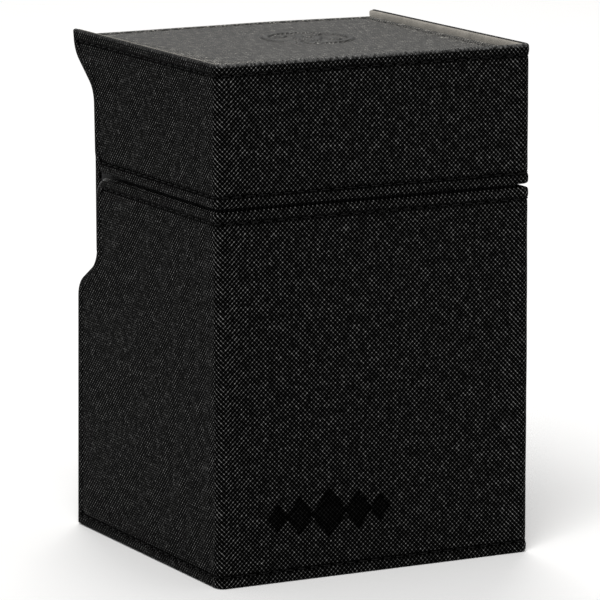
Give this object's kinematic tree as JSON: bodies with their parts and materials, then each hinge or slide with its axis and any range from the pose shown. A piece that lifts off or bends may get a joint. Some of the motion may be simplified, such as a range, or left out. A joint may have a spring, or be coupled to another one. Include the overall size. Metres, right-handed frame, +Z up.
{
  "type": "card deck box",
  "caption": "Upright leatherette-covered box for a deck of sleeved cards, with a magnetic lid that folds back over a rear spine and side wings cut away at the waist.",
  "frame": {"origin": "centre of the bottom of the closed box, on the surface that it stands on", "axes": "+Z up along the box's height, -Y at the front face, +X to the right seen from the front"},
  "size_m": [0.0772, 0.0724, 0.114],
  "materials": {
    "woven_leatherette": "black leatherette with a fine diagonal basket weave, low sheen",
    "smooth_leatherette": "black leatherette with a fine grain, satin",
    "grey_lining": "warm grey lining cloth",
    "dark_microfibre": "dark grey microfibre, matt nap",
    "greyboard": "unbleached greyboard",
    "magnet_plating": "nickel plate"
  },
  "bodies": {
    "body": {"body_wrap": "woven_leatherette", "body_wrap_lining": "grey_lining", "base_panel": "smooth_leatherette", "body_rear_panel": "woven_leatherette", "body_rear_filler": "greyboard", "tray_skin": "dark_microfibre", "tray_front_board": "greyboard", "tray_rear_board": "greyboard", "tray_left_board": "greyboard", "tray_right_board": "greyboard", "tray_floor_board": "greyboard", "tray_lining": "dark_microfibre", "tray_magnet_left": "magnet_plating", "tray_magnet_right": "magnet_plating"},
    "spine": {"spine_skin": "woven_leatherette", "spine_board": "greyboard", "spine_lining": "dark_microfibre"},
    "lid": {"lid_wrap": "woven_leatherette", "lid_wrap_lining": "grey_lining", "lid_top_panel": "smooth_leatherette", "lid_top_board": "greyboard", "lid_front_board": "greyboard", "lid_left_board": "greyboard", "lid_right_board": "greyboard", "lid_rear_board": "greyboard", "lid_lining": "dark_microfibre", "lid_rear_panel": "woven_leatherette", "lid_rear_filler": "greyboard", "lid_magnet_left": "magnet_plating", "lid_magnet_right": "magnet_plating"}
  },
  "joints": [
    {"name": "spine_fold", "type": "hinge", "parent": "body", "child": "spine", "pos_m": [0, 0.029, 0.0755], "axis": [-1, 0, 0], "range_deg": [0, 90]},
    {"name": "lid_fold", "type": "hinge", "parent": "spine", "child": "lid", "pos_m": [0, 0.029, 0.0895], "axis": [-1, 0, 0], "range_deg": [0, 90]}
  ],
  "couplings": [
    {"joint": "lid_fold", "follows": "spine_fold", "ratio": 1}
  ]
}
